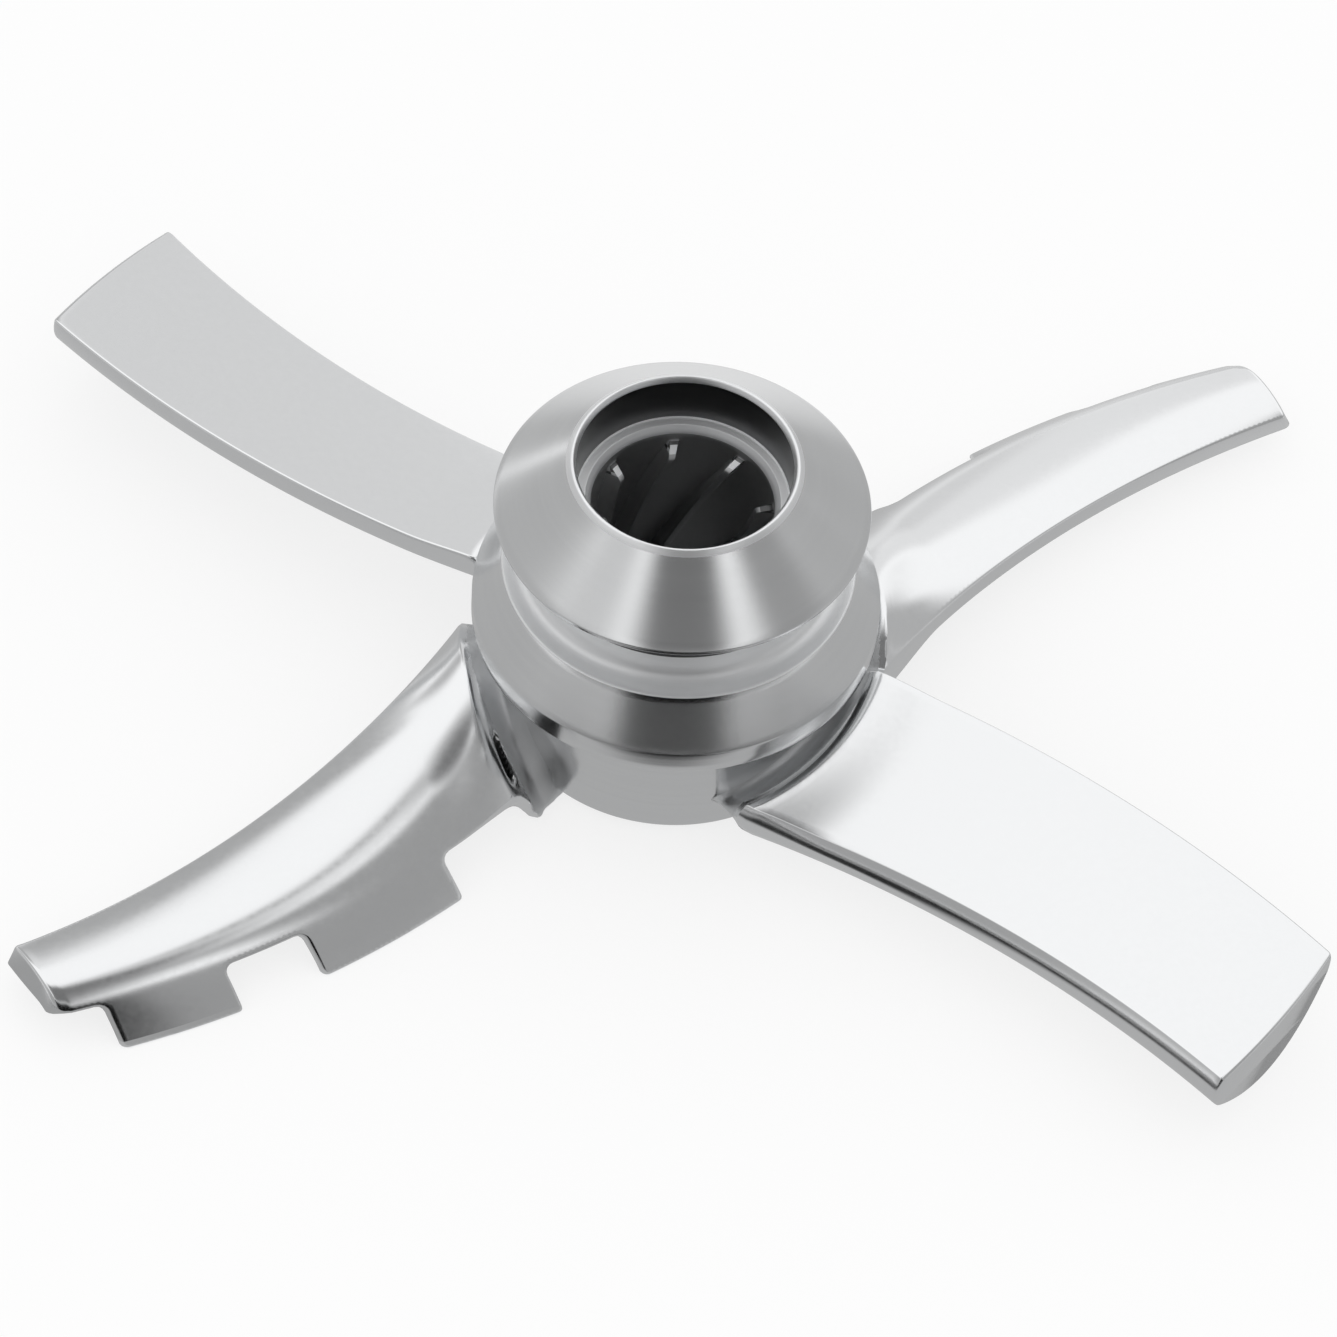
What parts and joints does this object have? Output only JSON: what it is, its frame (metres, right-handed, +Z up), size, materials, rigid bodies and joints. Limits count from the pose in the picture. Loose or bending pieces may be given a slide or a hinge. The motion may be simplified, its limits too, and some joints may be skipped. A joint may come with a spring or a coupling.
{
  "type": "ice cream maker paddle",
  "caption": "Stainless steel mixing paddle: a turned hub with a helically ribbed drive socket, curved flat scraping blades and rolled toothed blades.",
  "frame": {"origin": "on the spindle axis, at the level on which the blade teeth stand", "axes": "+Z up along the spindle axis, out of the socket's mouth; the flat blades run towards -X +Y and +X -Y, the toothed blades towards +X +Y and -X -Y"},
  "size_m": [0.0708, 0.054, 0.0204],
  "materials": {
    "steel": "cast and turned stainless steel, polished blades and a satin hub"
  },
  "bodies": {
    "root": {"paddle": "steel"}
  },
  "joints": []
}
